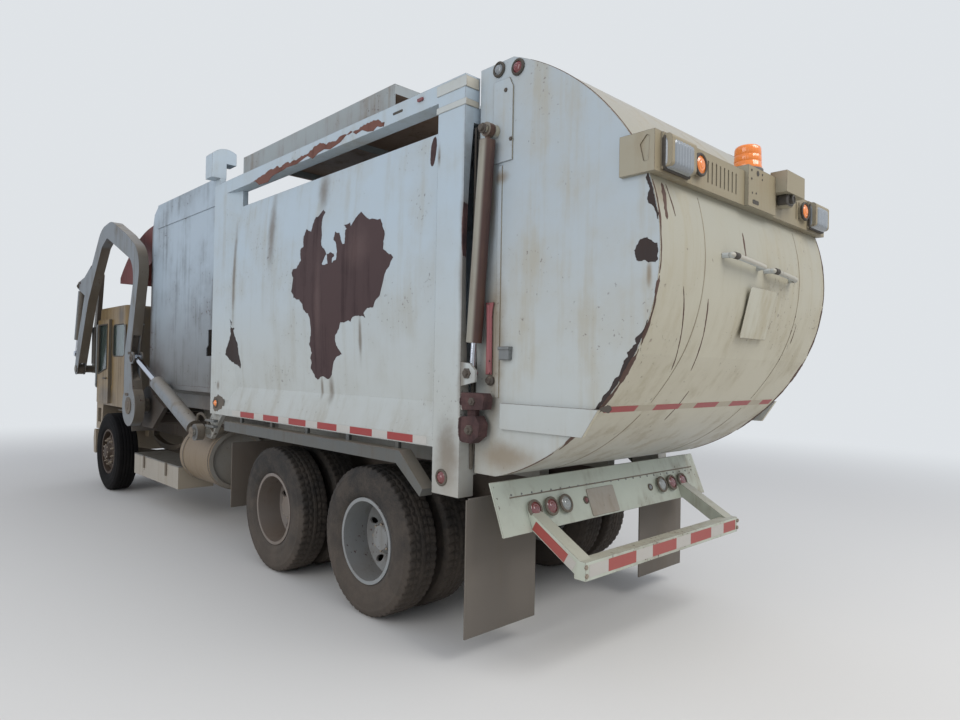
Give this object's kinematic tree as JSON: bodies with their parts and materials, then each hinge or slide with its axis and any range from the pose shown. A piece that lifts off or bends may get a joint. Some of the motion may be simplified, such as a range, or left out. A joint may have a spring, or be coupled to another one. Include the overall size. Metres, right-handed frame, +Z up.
{
  "type": "garbage truck",
  "caption": "Front-loading garbage truck: tandem chassis, low cab, swinging arms with forks, open hopper, load body and bulging top-hinged tailgate; off-white, worn and rusty.",
  "frame": {"origin": "on the ground under the centre of the truck's overall box", "axes": "+X forward, +Y to the truck's left, +Z up"},
  "size_m": [10.088, 2.626, 3.8812],
  "materials": {
    "frame_paint": "satin black, dusty",
    "engine_paint": "oily cast iron",
    "axle_paint": "dusty black",
    "tank_paint": "dusty beige paint",
    "box_paint": "white paint, scuffed",
    "body_paint": "dirty off-white paint with rust",
    "blade_paint": "scraped paint over rust",
    "door_paint": "dirty off-white paint with rust",
    "shield_paint": "maroon paint",
    "flap_rubber": "dusty grey rubber",
    "galvanised": "galvanised steel",
    "arm_paint": "off-white paint, chipped",
    "cab_paint": "off-white gloss paint, dirty",
    "windscreen": "green tinted glass",
    "cab_plastic": "dark grey trim",
    "black_plastic": "black plastic",
    "cylinder_paint": "off-white paint, oily",
    "rod_chrome": "hard chrome",
    "tyre_rubber": "worn, dusty",
    "rim_paint": "dusty white paint"
  },
  "bodies": {
    "chassis": {"chassis_frame": "frame_paint", "engine_block": "engine_paint", "drive_axles": "axle_paint", "front_axle": "axle_paint", "side_tanks": "tank_paint", "battery_box": "box_paint", "load_body": "body_paint", "hopper": "body_paint", "cab_shield": "shield_paint", "light_panel": "frame_paint", "mud_flaps": "flap_rubber", "fender_rails": "galvanised", "cab_shell": "cab_paint", "cab_glass": "windscreen", "cab_interior": "cab_plastic", "front_bumper": "cab_paint", "mirrors": "black_plastic"},
    "knuckle_left": {"knuckle_left": "axle_paint"},
    "knuckle_right": {"knuckle_right": "axle_paint"},
    "wheel_front_left": {"tyre_front_left": "tyre_rubber", "rim_front_left": "rim_paint"},
    "wheel_front_right": {"tyre_front_right": "tyre_rubber", "rim_front_right": "rim_paint"},
    "wheel_middle_left": {"tyre_middle_left": "tyre_rubber", "rim_middle_left": "rim_paint"},
    "wheel_middle_right": {"tyre_middle_right": "tyre_rubber", "rim_middle_right": "rim_paint"},
    "wheel_rear_left": {"tyre_rear_left": "tyre_rubber", "rim_rear_left": "rim_paint"},
    "wheel_rear_right": {"tyre_rear_right": "tyre_rubber", "rim_rear_right": "rim_paint"},
    "lift_arms": {"lift_arms": "arm_paint"},
    "forks": {"forks": "arm_paint"},
    "lift_barrels": {"lift_barrels": "cylinder_paint"},
    "lift_rods": {"lift_rods": "rod_chrome"},
    "fork_barrels": {"fork_barrels": "cylinder_paint"},
    "fork_rods": {"fork_rods": "rod_chrome"},
    "gate_barrels": {"gate_barrels": "cylinder_paint"},
    "gate_rods": {"gate_rods": "rod_chrome"},
    "top_door": {"top_door": "door_paint"},
    "packer_blade": {"packer_blade": "blade_paint"},
    "door_left": {"door_left": "cab_paint"},
    "door_right": {"door_right": "cab_paint"},
    "tailgate": {"tailgate": "body_paint", "light_bar": "body_paint"}
  },
  "joints": [
    {"name": "steer_left", "type": "hinge", "parent": "chassis", "child": "knuckle_left", "pos_m": [3.387, 0.905, 0.518], "axis": [0, 0, 1], "range_deg": [-32, 32]},
    {"name": "steer_right", "type": "hinge", "parent": "chassis", "child": "knuckle_right", "pos_m": [3.387, -0.905, 0.518], "axis": [0, 0, 1], "range_deg": [-32, 32]},
    {"name": "spin_front_left", "type": "hinge", "parent": "knuckle_left", "child": "wheel_front_left", "pos_m": [3.387, 1.085, 0.518], "axis": [0, 1, 0], "continuous": true},
    {"name": "spin_front_right", "type": "hinge", "parent": "knuckle_right", "child": "wheel_front_right", "pos_m": [3.387, -1.085, 0.518], "axis": [0, 1, 0], "continuous": true},
    {"name": "spin_middle_left", "type": "hinge", "parent": "chassis", "child": "wheel_middle_left", "pos_m": [-1.394, 0.92, 0.518], "axis": [0, 1, 0], "continuous": true},
    {"name": "spin_middle_right", "type": "hinge", "parent": "chassis", "child": "wheel_middle_right", "pos_m": [-1.394, -0.92, 0.518], "axis": [0, 1, 0], "continuous": true},
    {"name": "spin_rear_left", "type": "hinge", "parent": "chassis", "child": "wheel_rear_left", "pos_m": [-2.764, 0.92, 0.518], "axis": [0, 1, 0], "continuous": true},
    {"name": "spin_rear_right", "type": "hinge", "parent": "chassis", "child": "wheel_rear_right", "pos_m": [-2.764, -0.92, 0.518], "axis": [0, 1, 0], "continuous": true},
    {"name": "arm_lift", "type": "hinge", "parent": "chassis", "child": "lift_arms", "pos_m": [2.236, 0, 1.2], "axis": [0, -1, 0], "range_deg": [-20, 75]},
    {"name": "fork_fold", "type": "hinge", "parent": "lift_arms", "child": "forks", "pos_m": [4.786, 0, 1.62], "axis": [0, -1, 0], "range_deg": [-100, 5]},
    {"name": "lift_barrel_swing", "type": "hinge", "parent": "chassis", "child": "lift_barrels", "pos_m": [0.166, 0, 1.04], "axis": [0, -1, 0], "range_deg": [-12, 4]},
    {"name": "lift_rod_slide", "type": "slide", "parent": "lift_barrels", "child": "lift_rods", "axis": [0.9364, 0, 0.351], "range_m": [-0.68, 0.19]},
    {"name": "fork_barrel_swing", "type": "hinge", "parent": "lift_arms", "child": "fork_barrels", "pos_m": [4.756, 0, 2.86], "axis": [0, -1, 0], "range_deg": [-3, 1]},
    {"name": "fork_rod_slide", "type": "slide", "parent": "fork_barrels", "child": "fork_rods", "axis": [0.2312, 0, -0.9729], "range_m": [-0.025, 0.485]},
    {"name": "tailgate_lift", "type": "hinge", "parent": "chassis", "child": "tailgate", "pos_m": [-3.714, 0, 3.53], "axis": [0, 1, 0], "range_deg": [0, 80]},
    {"name": "gate_barrel_swing", "type": "hinge", "parent": "tailgate", "child": "gate_barrels", "pos_m": [-3.854, 0, 3.14], "axis": [0, 1, 0], "range_deg": [-90, 1]},
    {"name": "gate_rod_slide", "type": "slide", "parent": "gate_barrels", "child": "gate_rods", "axis": [0.0727, 0, -0.9974], "range_m": [-0.005, 0.5]},
    {"name": "top_door_slide", "type": "slide", "parent": "chassis", "child": "top_door", "axis": [1, 0, 0], "range_m": [0, 2.45]},
    {"name": "packer_stroke", "type": "slide", "parent": "chassis", "child": "packer_blade", "axis": [-1, 0, 0], "range_m": [0, 4.9]},
    {"name": "cab_door_left", "type": "slide", "parent": "chassis", "child": "door_left", "axis": [-1, 0, 0], "range_m": [0, 0.62]},
    {"name": "cab_door_right", "type": "slide", "parent": "chassis", "child": "door_right", "axis": [-1, 0, 0], "range_m": [0, 0.62]}
  ],
  "couplings": [
    {"joint": "steer_right", "follows": "steer_left", "ratio": 1},
    {"joint": "lift_barrel_swing", "follows": "arm_lift", "ratio": -0.145},
    {"joint": "lift_rod_slide", "follows": "arm_lift", "m_per_rad": -0.51},
    {"joint": "fork_barrel_swing", "follows": "fork_fold", "ratio": 0.02},
    {"joint": "fork_rod_slide", "follows": "fork_fold", "m_per_rad": -0.275},
    {"joint": "gate_barrel_swing", "follows": "tailgate_lift", "ratio": -1.09},
    {"joint": "gate_rod_slide", "follows": "tailgate_lift", "m_per_rad": 0.35}
  ]
}
